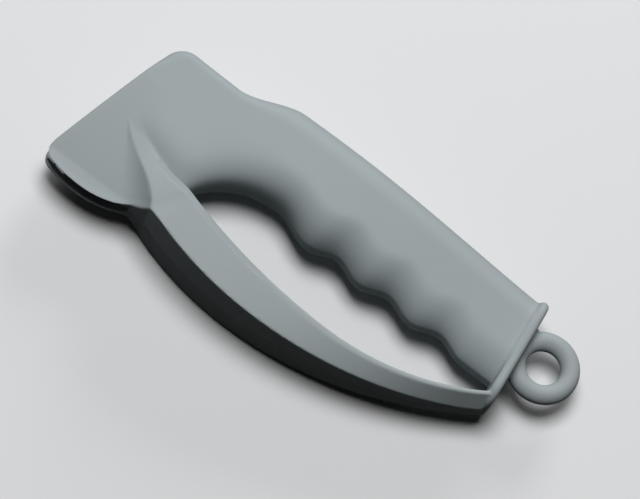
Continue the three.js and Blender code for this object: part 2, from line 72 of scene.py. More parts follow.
# How the sharpener lies on the table: a slight turn onto its three resting points, then a shift
LYING_TURN = Quaternion((0.9999396139, 0.0051379196, 0.0097144378, 0.0))
LYING_SHIFT = Vector((-16.1159629, 1.5864237, 10.1905822))

# Sizes and places, in millimetres and in the side frame. LOW is a curve's lowest point. A pair of radii,
# widths, bands or ends gives the one towards the head first, then the one towards the ring.

# Grip
GRIP_LENGTH = 66.0
GRIP_HEIGHT = 25.5
GRIP_WIDTH = 20.0
GRIP_WIDEST = 12.0
BUTT_WIDTH = 14.6
BACK_FALL = 1.9
BACK_ROUNDING = 8.0

# Underside of the grip. A flat stands up from the joint and ends in a crisp line. From there the section
# is part of an ellipse.
GRIP_ROUNDING = 8.8
GRIP_POWER = 2.0
UNDERSIDE_FLAT = 1.65
UNDERSIDE_START_SHARE = 0.3
UNDERSIDE_DROP = 0.5
GROOVE_PITCH = 15.9
GROOVE_DEPTH = 2.3
GROOVES = 3

# Arch over the forefinger. Its first power holds at the grip. Towards the head the section is rounded
# further in, and the second power makes it stand up more squarely.
ARCH_RADIUS = 22.0
ARCH_TOP = 2.2
ARCH_Y = ARCH_TOP - ARCH_RADIUS
ARCH_RUN = 11.5
ARCH_ROUNDING = 8.4
ARCH_HEAD_ROUNDING = 13.5
ARCH_HEAD_RUN = 0.8 * ARCH_RADIUS
ARCH_FALL_SHARE = 0.98
ARCH_POWERS = (2.3, 3.0)

# Shoulder and head
SHOULDER_RUN = 17.0
SHOULDER_FRONT = 25.5
HEAD_TOP = 19.8
HEAD_TOP_FALL = 0.8
HEAD_FRONT = 43.6
HEAD_LEAN = math.radians(13.9)
HEAD_CORNER = 4.3
HEAD_WIDTH = 14.4
HEAD_WIDEST_Y = 5.8
HEAD_ROUNDING = 3.2
FRONT_ROUNDING = 0.9
FRONT_ROUNDING_RUN = 12.0
NECK_RISE_RUN = 8.0
NECK_RISE_FRONT = 43.0
NECK_RISE_LEAD = 9.0
WEDGE_BULGE_SHARE = 0.55

# Lip under the head
LIP_LOW = (-42.0, -26.4)
LIP_RADII = (36.0, 25.0)
LIP_FRONT = -53.6
LIP_CORNER = 2.4
LIP_WAIST = 5.8
LIP_FLARE = 0.3
LIP_FLARE_REACH = 2.0
LIP_WEDGE_START = 4.0

# Guard: a bowed band between its rim, beside the fingers, and its base
RIM_LOW = (26.5, -19.2)
RIM_RADII = (155.0, 73.0)
RIM_WIDTHS = (20.8, 14.0)
RIM_BANDS = (2.3, 1.4)
RIM_EDGE = 0.5
BASE_LOW = (7.8, -28.6)
BASE_RADII = (90.0, 110.0)
BASE_WIDTHS = (20.6, 4.4)
BASE_DRAFT = 0.45
BASE_CORNER_RUN = 4.5
BASE_CORNER_FALL = 1.1
GUARD_FRONT = -24.0
GUARD_RIM_FRONT = -19.0
GUARD_TAPER_POWER = 1.6
FACE_SHARES = (0.25, 0.5, 0.75, 1)

# Shallow strip along the guard's rim
STRIP_WIDTH = 1.5
STRIP_DEPTH = 0.5
STRIP_ENDS = (-30.0, 9.0)
STRIP_FADE = 5.0
STRIP_STATIONS = 60

# Fin at the guard's root, from its tip on the head's side. Its flank is the hollow face beside its edge.
# The rise shares say where the edge starts to widen to the guard, and over how much of the fin it does so.
FIN_TIP_X = -39.5
FIN_RIM_TIP_WIDTH = 12.1
FIN_RIM_POWER = 1.6
FIN_RIM_SAG = 0.6
FIN_EDGE = ((-42.2, -5.5), (-37.6, -11.6), (-26.8, -15.0))
FIN_EDGE_TIP_WIDTH = 12.4
FIN_EDGE_RISE_SHARES = (0.25, 0.7)
FIN_LEAST_RISE = 0.2
FLANK_REACH = 11.0
FLANK_LEAST_REACH = 0.4
FLANK_REACH_POWER = 1.15
FLANK_SPACING_POWER = 1.4
FLANK_HOLLOW_POWERS = (1.7, 3.2)
FLANK_LIP_POWER = 8
FLANK_SINK = 0.03
ROOT_SHARES = (0.17, 0.33, 0.5, 0.67, 0.83)

# Flange, ring and the web between them
FLANGE_OVERLAP = 1.3
FLANGE_WIDTH = 16.4
FLANGE_PROUD = 0.1
FLANGE_LEAN = math.radians(5.5)
FLANGE_FOOT_RISE = 1.3
FLANGE_FILLET = 0.9
FLANGE_CORNER = 6.6
FLANGE_ROUNDING = 1.25
RING_BEHIND = 6.6
RING_HEIGHT = 10.7
WEB_THICKNESS = 3.0
WEB_HEIGHT = 15.0
WEB_TIP_SHARE = 0.55

# Slot, blades and holder. Insets run back from the head's front edge. The blades reach below and above
# the point where they cross. The holder is narrower at its foot than at its top.
SLOT_ROOF = 2.8
SLOT_ROOF_FRONT = 19.3
SLOT_ROOF_FALL = math.radians(6.5)
SLOT_REAR = 28.8
SLOT_CHAMFER = 0.5
SLOT_CHAMFER_RISE = 0.25
SLOT_TAPER = 5.0
SLOT_TAPER_END_SHARE = 0.75
SLOT_LEAST_DEPTH = 1.0
SLOT_STATIONS = 60
BLADE_WIDTH = 3.0
BLADE_BELOW = 2.6
BLADE_ABOVE = 5.0
BLADE_INSET = 1.2
BLADE_SPACING = 3.5
BLADE_CROSSING = 21.0
BLADE_EDGE = 0.15
HOLDER_INSET = 1.5
HOLDER_LENGTH = 9.4
HOLDER_ABOVE = 1.2
HOLDER_HEIGHT = 9.4
HOLDER_WIDTHS = (4.2, 6.4)
HOLDER_EDGE = 0.25

# Making of the meshes. A cutter or a buried end overruns the face that it crosses. The skim keeps the
# strip's cutter clear of the rim where the strip has faded out. The halvings find the casing's outline,
# and the rounds find the flange's foot.
NET_FLOOR = -2.0
OVERRUN = 1.0
SKIM = 0.01
HALVINGS = 40
ROUNDS = 20
SMOOTH_ANGLE = math.radians(32)

# View of the photograph, with its distance in metres, and where its light comes from
VIEW_TARGET = (14.55, 0, 0)
VIEW_FORWARD = (-0.0383, 0.3892, -0.9204)
VIEW_RIGHT = (0.7974, 0.5673, 0.2066)
VIEW_DOWN = (0.6026, -0.7260, -0.3319)
VIEW_DISTANCE = 1.067
VIEW_LENS = 241.9
KEY_FROM = (-0.18, 0.12, 1)
RIM_FROM = (-0.2, 0.92, 0.34)
FILL_FROM = (-0.95, -0.2, 0.25)

# Floor and world. The gap is in metres. The shares say how much of their paleness reaches the sharpener
# as light and as gloss.
FLOOR_GAP = 0.00005
UNSEEN_FLOOR_SHARE = 0.03
GLOSS_SEEN_SHARE = 0.35
WORLD_LIGHT = 0.004


def mix(a, b, share):
    return a + (b - a) * share


def clamp(value):
    return np.clip(value, 0.0, 1.0)


def ease(value):
    t = clamp(value)
    return t * t * (3 - 2 * t)


def arc_rise(x, low_x, radii):
    """How far a bowl of two arcs has risen from its lowest point."""
    x = np.asarray(x, float)
    radius = np.where(x < low_x, radii[0], radii[1])
    run = np.minimum(np.abs(x - low_x), radius)
    return radius - np.sqrt(radius * radius - run * run)


def rim_line(x):
    return RIM_LOW[1] + arc_rise(x, RIM_LOW[0], RIM_RADII)


def base_line(x):
    return BASE_LOW[1] + arc_rise(x, BASE_LOW[0], BASE_RADII)


def lip_line(x):
    return LIP_LOW[1] + arc_rise(x, LIP_LOW[0], LIP_RADII)


def lip_edge(x):
    """The lip's line with its front corner rounded off."""
    return lip_line(x) + rounded_away(x - LIP_FRONT, LIP_CORNER)


def underside(x):
    """The grip's underside: half a wave down from the arch, then whole waves for the fingers."""
    x = np.asarray(x, float)
    crest = -GROOVE_DEPTH / 2
    lead = mix(ARCH_TOP, crest, (1 - np.cos(np.pi * np.clip(x, 0, ARCH_RUN) / ARCH_RUN)) / 2)
    waves = np.clip((x - ARCH_RUN) / GROOVE_PITCH, 0, GROOVES)
    wave = np.where(x < ARCH_RUN, lead, crest * np.cos(2 * np.pi * waves))
    return wave - UNDERSIDE_DROP * ease(x / ARCH_RUN)


def back_line(x):
    fall = clamp((x + ARCH_RUN) / (GRIP_LENGTH + ARCH_RUN))
    grip = GRIP_HEIGHT - BACK_FALL * fall * fall
    head = HEAD_TOP - HEAD_TOP_FALL * clamp((x + HEAD_FRONT) / (HEAD_FRONT - SHOULDER_FRONT))
    return mix(head, grip, ease((x + SHOULDER_FRONT) / SHOULDER_RUN))


def front_edge(y):
    return -HEAD_FRONT - (HEAD_TOP - y) * math.tan(HEAD_LEAN)


def outer_depths(x, y):
    return back_line(x) - y, (x - front_edge(y)) * math.cos(HEAD_LEAN)


def depth_from_back(x, y):
    below, behind = outer_depths(x, y)
    corner = HEAD_CORNER - np.hypot(HEAD_CORNER - below, HEAD_CORNER - behind)
    inside = (below > HEAD_CORNER) | (behind > HEAD_CORNER)
    return np.where(inside, np.minimum(below, behind), corner)


def outline_points(angles):
    """Where rays from the arch's centre leave the casing."""
    near = np.full(len(angles), ARCH_RADIUS)
    far = np.full(len(angles), 4 * ARCH_RADIUS)
    for _ in range(HALVINGS):
        middle = (near + far) / 2
        inside = depth_from_back(middle * np.cos(angles), ARCH_Y + middle * np.sin(angles)) > 0
        near = np.where(inside, middle, near)
        far = np.where(inside, far, middle)
    return near * np.cos(angles), ARCH_Y + near * np.sin(angles)


def rounded_away(depth, radius, power=2.0, start=0.0):
    """How far a rounded edge has fallen, this deep in from it. With a power above 2 it stands up more
    squarely, and with a start above zero it begins at a crisp line."""
    left = (1 - (1 - start ** power) * (1 - clamp(depth / radius)) ** power) ** (1 / power)
    return radius * (1 - left) / (1 - start)


def side_height(x, y):
    """Half width of the casing. The head narrows like a wedge to its lip, which turns out a little, and
    above the line of the guard's rim the neck rises from the wedge to its full width."""
    to_grip = ease((x + HEAD_FRONT + HEAD_CORNER) / (HEAD_FRONT + HEAD_CORNER + GRIP_WIDEST))
    to_butt = ease((x - GRIP_WIDEST) / (GRIP_LENGTH - GRIP_WIDEST))
    full = mix(mix(HEAD_WIDTH, GRIP_WIDTH, to_grip), BUTT_WIDTH, to_butt) / 2
    bottom = LIP_LOW[1] + LIP_WEDGE_START
    rise = clamp((y - bottom) / (HEAD_WIDEST_Y - bottom))
    wedge = mix(LIP_WAIST / 2, full, rise + WEDGE_BULGE_SHARE * rise * (1 - rise))
    flare = clamp(1 - (y - lip_line(x)) / LIP_FLARE_REACH)
    above_rim = 1 - (1 - clamp((y - rim_line(x)) / NECK_RISE_RUN)) ** 2
    fade = above_rim * ease((x + NECK_RISE_FRONT) / NECK_RISE_LEAD)
    return mix(wedge + LIP_FLARE * flare * flare, full, fade)


def body_height(x, y):
    """Height of the casing's side over a point, rounded down to its back, to the opening for the fingers
    and to the head's front, with a fillet up to the flange."""
    below, behind = outer_depths(x, y)
    top = mix(HEAD_ROUNDING, BACK_ROUNDING, ease((x + SHOULDER_FRONT) / SHOULDER_RUN))
    outer = mix(FRONT_ROUNDING, top, ease(1 - (below - behind) / FRONT_ROUNDING_RUN))
    to_head = ease(-x / ARCH_HEAD_RUN)
    arch = mix(ARCH_ROUNDING, ARCH_HEAD_ROUNDING, to_head)
    along_grip = ease(x / ARCH_RUN)
    power = mix(mix(*ARCH_POWERS, to_head), GRIP_POWER, along_grip)
    inner = mix(arch, GRIP_ROUNDING, along_grip)
    opening = np.where(x < 0, np.hypot(x, y - ARCH_Y) - ARCH_RADIUS, y - underside(x))
    side = side_height(x, y)
    fall = mix(ARCH_FALL_SHARE * side, side - UNDERSIDE_FLAT, along_grip)
    height = side - rounded_away(depth_from_back(x, y), outer)
    height = height - rounded_away(opening, inner, power, UNDERSIDE_START_SHARE * along_grip) * fall / inner
    return np.maximum(0, height + rounded_away(flange_x(y) - x, FLANGE_FILLET))


def flange_x(y):
    return GRIP_LENGTH + (back_line(GRIP_LENGTH) - y) * math.tan(FLANGE_LEAN)


def flange_foot():
    """Where the flange ends, a little above the base of the guard."""
    foot = float(base_line(GRIP_LENGTH))
    for _ in range(ROUNDS):
        foot = float(base_line(flange_x(foot))) + FLANGE_FOOT_RISE
    return foot


def section_shares(count):
    """Places across a section, closer together at its two rounded edges."""
    return (1 - np.cos(np.pi * np.arange(count + 1) / count)) / 2


def body_net(grip_stations, arch_stations, lip_stations, columns):
    """Points of the body's side, station by station: along the grip, round the arch, down to the lip."""
    shares = section_shares(columns)
    rear = GRIP_LENGTH + FLANGE_OVERLAP
    lean_run = (back_line(rear) - underside(rear)) * math.tan(FLANGE_LEAN)
    along = 1 - np.arange(grip_stations) / grip_stations
    outer_x = rear * along
    inner_x = outer_x + lean_run * along
    angles = np.linspace(np.pi / 2, np.pi, arch_stations + 1)
    arch_x, arch_y = outline_points(angles)
    in_x = np.concatenate([inner_x, ARCH_RADIUS * np.cos(angles)])
    in_y = np.concatenate([underside(inner_x), ARCH_Y + ARCH_RADIUS * np.sin(angles)])
    out_x = np.concatenate([outer_x, arch_x])
    out_y = np.concatenate([back_line(outer_x), arch_y])
    x = mix(in_x[:, None], out_x[:, None], shares[None])
    y = mix(in_y[:, None], out_y[:, None], shares[None])
    lip_x = mix((GUARD_FRONT + GUARD_RIM_FRONT) / 2, LIP_FRONT, shares)[None]
    down = np.sin(np.arange(1, lip_stations + 1) / lip_stations * np.pi / 2)[:, None]
    x = np.vstack([x, mix(x[-1:], lip_x, down)])
    y = np.vstack([y, mix(y[-1:], lip_edge(lip_x), down)])
    return np.stack([x, y, body_height(x, y)], axis=2)


def guard_share(x):
    return clamp((x - GUARD_FRONT) / (GRIP_LENGTH - GUARD_FRONT))


def tapered(widths, x):
    return mix(*widths, guard_share(x) ** GUARD_TAPER_POWER)


def rim_half(x):
    return tapered(RIM_WIDTHS, x) / 2


def base_half(x):
    """Half width of the guard's base, a little narrower at its front corner."""
    corner = 1 - clamp((x - GUARD_FRONT) / BASE_CORNER_RUN)
    return tapered(BASE_WIDTHS, x) / 2 - BASE_CORNER_FALL * corner * corner


def base_side(x):
    """The base's line at its near edge, which the moulding draft lifts a little above the joint."""
    return base_line(x) + BASE_DRAFT * (1 - guard_share(x))


def guard_row(rim, base, rim_z, base_z):
    """One section of the guard: a flat band under the rim, then a face that leans in to the base."""
    down = base - rim
    depth = np.hypot(*down)
    band = mix(*RIM_BANDS, guard_share(rim[0]))
    runs = [0, RIM_EDGE, band] + [mix(band, depth, share) for share in FACE_SHARES]
    heights = [rim_z - RIM_EDGE, rim_z, rim_z] + [mix(rim_z, base_z, share) for share in FACE_SHARES]
    return [(*(rim + down * run / depth), z) for run, z in zip(runs, heights)]


def rim_place(x):
    """The rim's near edge, along the fin and then along the guard."""
    share = clamp((x - FIN_TIP_X) / (GUARD_RIM_FRONT - FIN_TIP_X))
    if share == 1:
        return np.array([x, float(rim_line(x)), float(rim_half(x))])
    sag = FIN_RIM_SAG * math.sin(share * math.pi)
    width = mix(FIN_RIM_TIP_WIDTH, RIM_WIDTHS[0], ease(share ** FIN_RIM_POWER))
    return np.array([x, float(rim_line(x)) - sag, width / 2])


def fin_row(foot, tangent, share, columns):
    """One section of the fin, with a hollow flank that runs out from its edge to the head's side."""
    rim = rim_place(mix(FIN_TIP_X, GUARD_RIM_FRONT, share))
    risen = ease((share - FIN_EDGE_RISE_SHARES[0]) / FIN_EDGE_RISE_SHARES[1])
    foot_z = mix(FIN_EDGE_TIP_WIDTH / 2, float(base_half(GUARD_FRONT)), risen)
    row = guard_row(rim[:2], foot, rim[2], foot_z)
    proud = max(FIN_LEAST_RISE, foot_z - float(body_height(*foot)))
    along = mix(np.array([tangent[1], -tangent[0]]) / np.hypot(*tangent), np.array([-1.0, 0.0]), share)
    along /= np.hypot(*along)
    reach = max(FLANK_LEAST_REACH, FLANK_REACH * share ** FLANK_REACH_POWER)
    for j in range(1, columns + 1):
        out = (j / columns) ** FLANK_SPACING_POWER
        spot = foot + along * out * reach
        # The last sections come down to the lip's line, so that the flank ends on it.
        above_lip = max(0.0, spot[1] - float(lip_line(spot[0])))
        spot[1] -= above_lip * share ** FLANK_LIP_POWER
        rise = proud * (1 - out) ** mix(*FLANK_HOLLOW_POWERS, share) - FLANK_SINK * out
        row.append((*spot, float(body_height(*spot)) + rise))
    return row


def root_rows(fin, guard, columns):
    """The wall under the fin's flank, which follows the lip to the guard's front corner."""
    rows = []
    for share in ROOT_SHARES:
        row = mix(fin, guard, share)
        row[-columns:, 1] = np.minimum(guard[-columns:, 1], lip_line(row[-columns:, 0]))
        rows.append(row)
    return rows


def guard_net(fin_stations, guard_stations, columns):
    """The fin at the guard's root, section by section, and then the guard itself."""
    places = np.array([*FIN_EDGE, (GUARD_FRONT, float(base_side(GUARD_FRONT)))])
    rows = []
    # The fin's edge is a cubic curve over its places. The weights give a point of it, the slopes its course.
    for i in range(fin_stations + 1):
        t = i / fin_stations
        weights = np.array([(1 - t) ** 3, 3 * t * (1 - t) ** 2, 3 * t * t * (1 - t), t ** 3])
        slopes = np.array([(1 - t) ** 2, 2 * t * (1 - t), t * t])
        tangent = slopes @ np.diff(places, axis=0)
        rows.append(fin_row(weights @ places, tangent, t, columns))
    rear = float(flange_x(flange_foot())) + FLANGE_OVERLAP
    for i in range(guard_stations + 1):
        t = i / guard_stations
        rim_x = mix(GUARD_RIM_FRONT, rear, t)
        base_x = mix(GUARD_FRONT, rear, t)
        rim = np.array([rim_x, float(rim_line(rim_x))])
        base = np.array([base_x, float(base_side(base_x))])
        joint_y = float(base_line(base_x))
        base_z = float(base_half(base_x))
        row = guard_row(rim, base, float(rim_half(rim_x)), base_z)
        down = np.arange(1, columns + 1) / columns
        row += [(base_x, mix(base[1], joint_y, share), mix(base_z, 0, share)) for share in down]
        if i == 0:
            rows += root_rows(np.array(rows[-1]), np.array(row), columns)
        rows.append(row)
    return np.array(rows)


# Modelling helpers

def start_fresh():
    if bpy.context.object and bpy.context.object.mode != "OBJECT":
        bpy.ops.object.mode_set(mode="OBJECT")
    bpy.ops.object.select_all(action="DESELECT")


def pick(*objects):
    start_fresh()
    for obj in objects:
        obj.select_set(True)
    bpy.context.view_layer.objects.active = objects[0]
    return objects[0]


def added(name):
    obj = bpy.context.object
    obj.name = name
    return obj


def select(obj, kind, wanted):
    """In edit mode, selects the vertices, edges or faces that pass the test."""
    bpy.ops.mesh.select_all(action="DESELECT")
    bpy.ops.mesh.select_mode(type=kind)
    mesh = bmesh.from_edit_mesh(obj.data)
    for part in {"VERT": mesh.verts, "EDGE": mesh.edges, "FACE": mesh.faces}[kind]:
        part.select_set(bool(wanted(part)))
    bmesh.update_edit_mesh(obj.data)


def close_up():
    """In edit mode, turns all faces outwards and goes back to object mode."""
    bpy.ops.mesh.select_all(action="SELECT")
    bpy.ops.mesh.normals_make_consistent(inside=False)
    bpy.ops.object.mode_set(mode="OBJECT")


def net_solid(name, net, two_sided=False):
    """A grid shaped to a net of points and extruded down, to a flat floor or to its mirror image."""
    start_fresh()
    rows, columns = net.shape[:2]
    bpy.ops.mesh.primitive_grid_add(x_subdivisions=columns - 1, y_subdivisions=rows - 1, size=1)
    obj = added(name)
    obj.data.vertices.foreach_set("co", net.reshape(-1).astype(np.float32))
    bpy.ops.object.mode_set(mode="EDIT")
    bpy.ops.mesh.select_all(action="SELECT")
    bpy.ops.mesh.extrude_region_move()
    bpy.ops.transform.resize(value=(1, 1, -1 if two_sided else 0), center_override=(0, 0, 0))
    if not two_sided:
        bpy.ops.transform.translate(value=(0, 0, NET_FLOOR))
    bpy.ops.mesh.select_all(action="SELECT")
    bpy.ops.mesh.remove_doubles(threshold=1e-4)
    bpy.ops.mesh.dissolve_degenerate(threshold=1e-5)
    close_up()
    return obj


def use_modifier(obj, kind, **settings):
    pick(obj)
    modifier = obj.modifiers.new(kind.lower(), kind)
    for key, value in settings.items():
        setattr(modifier, key, value)
    bpy.ops.object.modifier_apply(modifier=modifier.name)
    return obj


def boolean(obj, tool, operation):
    use_modifier(obj, "BOOLEAN", operation=operation, object=tool, solver="EXACT")
    bpy.data.objects.remove(tool)
    return obj


def place(obj):
    """Writes the object's place, turn and scale into its mesh."""
    pick(obj)
    bpy.ops.object.transform_apply(location=True, rotation=True, scale=True)
    return obj


def settle(obj):
    """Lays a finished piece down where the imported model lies, in metres."""
    turn = Matrix.Translation(LYING_SHIFT) @ LYING_TURN.to_matrix().to_4x4()
    obj.data.transform(Matrix.Scale(MM, 4) @ turn)
    obj.data.update()
    return obj


def block(name, low, high):
    """A box between two corners, with its size and place in its mesh."""
    start_fresh()
    low = Vector(low)
    high = Vector(high)
    bpy.ops.mesh.primitive_cube_add(size=1, location=(low + high) / 2, scale=high - low)
    obj = added(name)
    return place(obj)


# Casing pieces

def flange_plate(casing):
    """The end flange: a plate with round corners and rounded edges, leaning with the end of the grip."""
    thickness = casing.flange_thickness / MM
    top = float(back_line(GRIP_LENGTH)) + FLANGE_PROUD
    half_wide = FLANGE_WIDTH / 2
    plate = block("flange", (GRIP_LENGTH, flange_foot(), -half_wide),
                  (GRIP_LENGTH + thickness, top, half_wide))
    bpy.ops.object.mode_set(mode="EDIT")
    select(plate, "EDGE", lambda edge: abs(edge.verts[0].co.x - edge.verts[1].co.x) > thickness / 2)
    bpy.ops.mesh.bevel(offset=FLANGE_CORNER, segments=12, profile=0.55)
    select(plate, "FACE", lambda face: abs(face.normal.x) > 0.9)
    bpy.ops.mesh.region_to_loop()
    bpy.ops.mesh.bevel(offset=FLANGE_ROUNDING, segments=5, profile=0.5)
    close_up()
    plate.data.transform(Matrix.Translation((GRIP_LENGTH, top, 0))
                         @ Matrix.Rotation(FLANGE_LEAN, 4, "Z")
                         @ Matrix.Translation((-GRIP_LENGTH, -top, 0)))
    return plate


def ring_centre(casing):
    behind = float(flange_x(RING_HEIGHT)) + casing.flange_thickness / MM + RING_BEHIND
    return Vector((behind, RING_HEIGHT, 0))


def hanging_ring(casing):
    """A round wire ring, and the flat web that joins it to the flange."""
    hole = casing.ring_hole / MM
    wire = casing.ring_wire / MM
    centre = ring_centre(casing)
    start_fresh()
    bpy.ops.mesh.primitive_torus_add(location=centre, major_segments=96, minor_segments=32,
                                     major_radius=(hole + wire) / 2, minor_radius=wire / 2)
    ring = place(added("ring"))
    web = block("web", centre - Vector((RING_BEHIND + OVERRUN, WEB_HEIGHT / 2, WEB_THICKNESS / 2)),
                centre + Vector((0, WEB_HEIGHT / 2, WEB_THICKNESS / 2)))
    bpy.ops.object.mode_set(mode="EDIT")
    select(web, "FACE", lambda face: face.normal.x > 0.9)
    bpy.ops.transform.resize(value=(1, WEB_TIP_SHARE, 1), center_override=centre)
    bpy.ops.object.mode_set(mode="OBJECT")
    start_fresh()
    bpy.ops.mesh.primitive_cylinder_add(location=centre, vertices=96, radius=hole / 2 + wire / 4,
                                        depth=2 * wire)
    boolean(web, place(added("bore")), "DIFFERENCE")
    return ring, web


def slot_solid(name, slot_mouth):
    """The channel that the knife runs through: wide at the lip, narrow at its roof."""
    x = np.linspace(LIP_FRONT - slot_mouth, -SLOT_REAR, SLOT_STATIONS)
    lip = lip_edge(x)
    roof = -SLOT_ROOF_FRONT - (x - LIP_FRONT) * math.tan(SLOT_ROOF_FALL)
    roof = np.maximum(roof, lip + SLOT_LEAST_DEPTH)
    narrowed = mix(SLOT_TAPER_END_SHARE, 1, ease((-SLOT_REAR - x) / SLOT_TAPER))
    half = slot_mouth / 2 * narrowed
    chamfer = SLOT_CHAMFER * narrowed
    edges = [
        (x, lip - 2 * OVERRUN, half + 2 * chamfer),
        (x, lip, half + chamfer),
        (x, lip + SLOT_CHAMFER_RISE, half),
        (x, roof, SLOT_ROOF / 2 * narrowed),
    ]
    net = np.stack([np.stack(edge, axis=1) for edge in edges], axis=1)
    return net_solid(name, net, two_sided=True)


def rim_strip():
    """The shallow strip along the guard's rim, as a tool to cut it with. It fades out at both ends."""
    rows = []
    for x in np.linspace(*STRIP_ENDS, STRIP_STATIONS):
        fade = min(1.0, (x - STRIP_ENDS[0]) / STRIP_FADE, (STRIP_ENDS[1] - x) / STRIP_FADE)
        _, rim_y, rim_z = rim_place(x)
        floor = rim_z - STRIP_DEPTH * math.sqrt(max(0.0, fade)) + SKIM
        low = rim_y - STRIP_WIDTH
        sloped = (x, low - OVERRUN, floor + OVERRUN)
        rows.append([sloped, (x, low, floor), (x, rim_y + 2 * OVERRUN, floor)])
    strip = net_solid("strip", np.array(rows))
    bpy.ops.object.mode_set(mode="EDIT")
    select(strip, "VERT", lambda vertex: vertex.co.z < 0)
    bpy.ops.transform.translate(value=(0, 0, RIM_WIDTHS[0] - NET_FLOOR))
    close_up()
    return strip


def casing_half(casing):
    """The half above the joint: its parts are joined, melted into one skin, and cut flat at the joint."""
    parts = [
        net_solid("body", body_net(grip_stations=150, arch_stations=110, lip_stations=30, columns=56)),
        net_solid("guard", guard_net(fin_stations=60, guard_stations=180, columns=10)),
        flange_plate(casing),
        *hanging_ring(casing),
    ]
    half = pick(*parts)
    bpy.ops.object.join()
    use_modifier(half, "REMESH", mode="VOXEL", voxel_size=casing.mesh_step / MM)
    use_modifier(half, "SMOOTH", factor=0.5, iterations=casing.edge_softening)
    pick(half)
    bpy.ops.object.mode_set(mode="EDIT")
    bpy.ops.mesh.select_all(action="SELECT")
    bpy.ops.mesh.bisect(plane_co=(0, 0, casing.seam_gap / MM / 2), plane_no=(0, 0, 1),
                        use_fill=True, clear_inner=True)
    bpy.ops.object.mode_set(mode="OBJECT")
    boolean(half, slot_solid("slot", casing.slot_mouth / MM), "DIFFERENCE")
    boolean(half, rim_strip(), "DIFFERENCE")
    return half


def mirrored(obj, name):
    """A copy on the other side of the joint, turned the right way out."""
    other = obj.copy()
    other.data = obj.data.copy()
    bpy.context.collection.objects.link(other)
    other.name = name
    pick(other)
    other.data.transform(Matrix.Scale(-1, 4, (0, 0, 1)))
    other.data.flip_normals()
    return other


def finished(obj, name, node, material):
    """Settles a piece, smooths its shading, gives it its material, hides the imported node that it stands in
    for and attaches it to the root.
    """
    settle(obj)
    obj.name = name
    obj.data.name = name
    obj.data.materials.clear()
    obj.data.materials.append(material)
    pick(obj)
    bpy.ops.object.shade_smooth_by_angle(angle=SMOOTH_ANGLE)
    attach(obj, "root")
    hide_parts(node)
    return obj


# Blades and their holder

def in_head(obj):
    """Sets a shape down in the head. Its X runs back from the front edge, its Y runs up along it."""
    origin = Vector((float(front_edge(-BLADE_CROSSING)), -BLADE_CROSSING, 0))
    obj.data.transform(Matrix.Translation(origin) @ Matrix.Rotation(-HEAD_LEAN, 4, "Z"))
    return obj


def blade(name, order, blades, clearance=0.0):
    """A small plate of hard metal with ground edges, leaning to one side or the other."""
    half_wide = BLADE_WIDTH / 2 + clearance
    half_thick = blades.thickness / MM / 2 + clearance
    plate = block(name, (-half_wide, -BLADE_BELOW, -half_thick),
                  (half_wide, BLADE_ABOVE + clearance, half_thick))
    if not clearance:
        use_modifier(plate, "BEVEL", width=BLADE_EDGE, segments=3, limit_method="ANGLE")
    tilt = blades.tilt if order == 0 else -blades.tilt
    behind = BLADE_INSET + BLADE_WIDTH / 2 + order * BLADE_SPACING
    plate.data.transform(Matrix.Translation((behind, 0, 0)) @ Matrix.Rotation(tilt, 4, "X"))
    return in_head(plate)


def blade_holder(casing, blades):
    """A block that widens upwards, with a saw cut for each blade and the slot's roof along its foot."""
    low = (HOLDER_INSET, HOLDER_ABOVE, -HOLDER_WIDTHS[0] / 2)
    high = (HOLDER_INSET + HOLDER_LENGTH, HOLDER_ABOVE + HOLDER_HEIGHT, HOLDER_WIDTHS[0] / 2)
    holder = block("holder", low, high)
    bpy.ops.object.mode_set(mode="EDIT")
    select(holder, "FACE", lambda face: face.normal.y > 0.9)
    widening = HOLDER_WIDTHS[1] / HOLDER_WIDTHS[0]
    bpy.ops.transform.resize(value=(1, 1, widening), center_override=(0, 0, 0))
    bpy.ops.object.mode_set(mode="OBJECT")
    use_modifier(holder, "BEVEL", width=HOLDER_EDGE, segments=3, limit_method="ANGLE")
    in_head(holder)
    boolean(holder, slot_solid("slot", casing.slot_mouth / MM), "DIFFERENCE")
    for order in (0, 1):
        boolean(holder, blade("cut", order, blades, clearance=casing.seam_gap / MM), "DIFFERENCE")
    return holder


# Materials

def linear(code):
    """An sRGB hex colour as linear values."""
    channels = [int(code[i:i + 2], 16) / 255 for i in (0, 2, 4)]
    return [c / 12.92 if c <= 0.04045 else ((c + 0.055) / 1.055) ** 2.4 for c in channels]


def add_node(tree, kind, links=None, **settings):
    """Adds a node, sets its properties and sockets by name, and links its inputs."""
    node = tree.nodes.new("ShaderNode" + kind)
    for key, value in settings.items():
        if hasattr(node, key):
            setattr(node, key, value)
        else:
            node.inputs[key].default_value = value
    for key, output in (links or {}).items():
        tree.links.new(output, node.inputs[key])
    return node


def new_material(name):
    material = bpy.data.materials.new(name)
    material.use_nodes = True
    material.node_tree.nodes.clear()
    return material, material.node_tree


def per_metre(millimetres):
    """The scale of a noise or wave whose features are this many millimetres across."""
    return 1 / (millimetres * MM)


